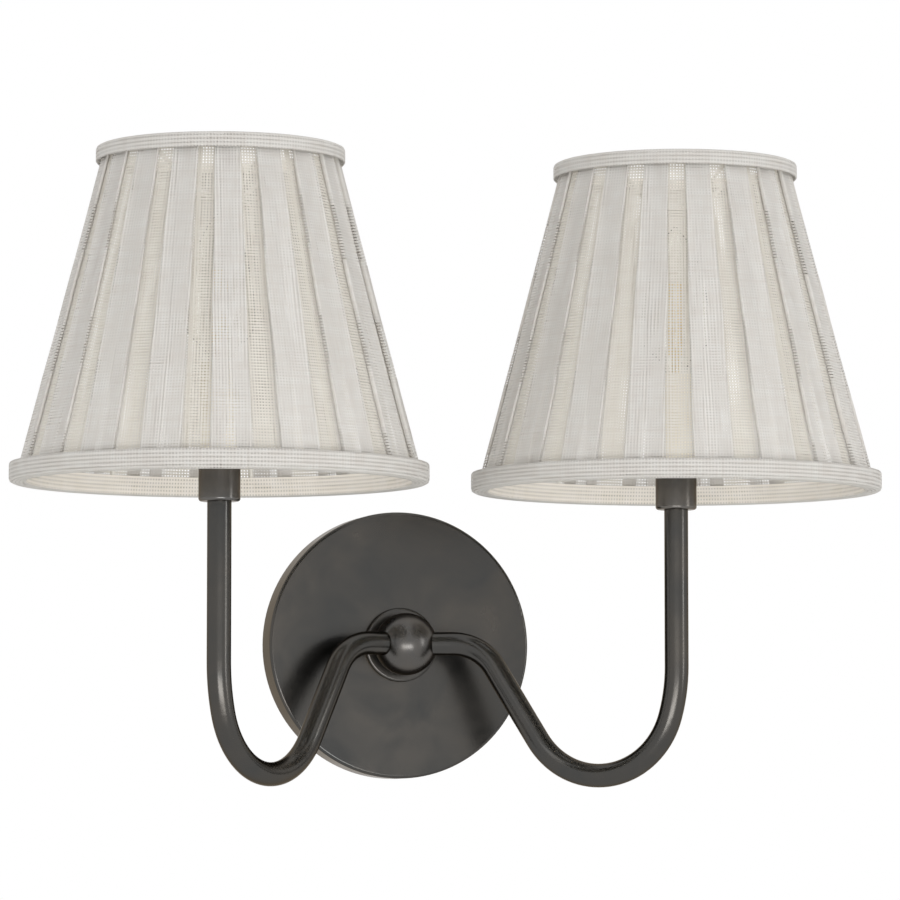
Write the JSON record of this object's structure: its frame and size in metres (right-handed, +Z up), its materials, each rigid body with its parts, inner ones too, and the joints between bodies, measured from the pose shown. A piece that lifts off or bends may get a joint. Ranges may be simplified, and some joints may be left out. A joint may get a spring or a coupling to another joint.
{
  "type": "double arm wall sconce",
  "caption": "Wall sconce with a round plate, a ball hub, two dipping tube arms and two tapered box-pleated open-weave fabric shades.",
  "frame": {"origin": "on the wall, behind the middle of the wall plate", "axes": "+X to the right of a person facing the sconce, +Y into the wall, +Z up"},
  "size_m": [0.4086, 0.2094, 0.2905],
  "materials": {
    "gunmetal": "satin",
    "zinc_steel": "satin",
    "green_screw": "satin",
    "ivory_sleeve": "matte",
    "socket_plastic": "matte",
    "socket_brass": "satin",
    "bulb_base": "satin",
    "solder": "satin",
    "black_glass": "gloss",
    "clear_glass": "clear",
    "filament": "matte",
    "frame_wire": "satin",
    "weave": "matte",
    "lead_sleeve": "matte"
  },
  "bodies": {
    "sconce": {"mounting_strap": "zinc_steel", "ground_screw": "green_screw", "plate_screws": "gunmetal", "wall_plate": "gunmetal", "hub_boss": "gunmetal", "hub_ball": "gunmetal", "hub_nipple": "zinc_steel", "hub_lock_washer": "zinc_steel", "hub_nut": "zinc_steel", "left_arm": "gunmetal", "left_arm_lead": "lead_sleeve", "left_cup": "gunmetal", "left_cup_nipple": "zinc_steel", "left_cup_nut": "zinc_steel", "left_candle_sleeve": "ivory_sleeve", "left_socket_bracket": "zinc_steel", "left_socket_body": "socket_plastic", "left_socket_shell": "socket_brass", "left_socket_contact": "socket_brass", "right_arm": "gunmetal", "right_arm_lead": "lead_sleeve", "right_cup": "gunmetal", "right_cup_nipple": "zinc_steel", "right_cup_nut": "zinc_steel", "right_candle_sleeve": "ivory_sleeve", "right_socket_bracket": "zinc_steel", "right_socket_body": "socket_plastic", "right_socket_shell": "socket_brass", "right_socket_contact": "socket_brass"},
    "left_tip": {"left_bulb_tip": "solder"},
    "left_bulb": {"left_bulb_insulator": "black_glass", "left_bulb_shell": "bulb_base", "left_bulb_glass": "clear_glass", "left_bulb_filament": "filament"},
    "left_clip": {"left_bulb_clip": "frame_wire", "left_clip_rivet": "frame_wire"},
    "left_shade": {"left_shade_spider": "frame_wire", "left_shade_top_ring": "frame_wire", "left_shade_bottom_ring": "frame_wire", "left_shade_struts": "frame_wire", "left_shade_pleats": "weave", "left_shade_top_band": "weave", "left_shade_bottom_band": "weave"},
    "right_tip": {"right_bulb_tip": "solder"},
    "right_bulb": {"right_bulb_insulator": "black_glass", "right_bulb_shell": "bulb_base", "right_bulb_glass": "clear_glass", "right_bulb_filament": "filament"},
    "right_clip": {"right_bulb_clip": "frame_wire", "right_clip_rivet": "frame_wire"},
    "right_shade": {"right_shade_spider": "frame_wire", "right_shade_top_ring": "frame_wire", "right_shade_bottom_ring": "frame_wire", "right_shade_struts": "frame_wire", "right_shade_pleats": "weave", "right_shade_top_band": "weave", "right_shade_bottom_band": "weave"}
  },
  "joints": [
    {"name": "left_bulb_rise", "type": "slide", "parent": "sconce", "child": "left_tip", "axis": [0, 0, 1], "range_m": [0, 0.00762]},
    {"name": "left_bulb_turn", "type": "hinge", "parent": "left_tip", "child": "left_bulb", "pos_m": [-0.1088, -0.1085, 0.11], "axis": [0, 0, 1], "range_deg": [0, 1080]},
    {"name": "left_shade_lift", "type": "slide", "parent": "left_bulb", "child": "left_clip", "axis": [0, 0, 1], "range_m": [0, 0.06]},
    {"name": "left_shade_turn", "type": "hinge", "parent": "left_clip", "child": "left_shade", "pos_m": [-0.1088, -0.1085, 0.2009], "axis": [0, 0, 1], "continuous": true},
    {"name": "right_bulb_rise", "type": "slide", "parent": "sconce", "child": "right_tip", "axis": [0, 0, 1], "range_m": [0, 0.00762]},
    {"name": "right_bulb_turn", "type": "hinge", "parent": "right_tip", "child": "right_bulb", "pos_m": [0.1088, -0.1085, 0.11], "axis": [0, 0, 1], "range_deg": [0, 1080]},
    {"name": "right_shade_lift", "type": "slide", "parent": "right_bulb", "child": "right_clip", "axis": [0, 0, 1], "range_m": [0, 0.06]},
    {"name": "right_shade_turn", "type": "hinge", "parent": "right_clip", "child": "right_shade", "pos_m": [0.1088, -0.1085, 0.2009], "axis": [0, 0, 1], "continuous": true}
  ],
  "couplings": [
    {"joint": "left_bulb_rise", "follows": "left_bulb_turn", "m_per_rad": 0.00040425},
    {"joint": "right_bulb_rise", "follows": "right_bulb_turn", "m_per_rad": 0.00040425}
  ]
}
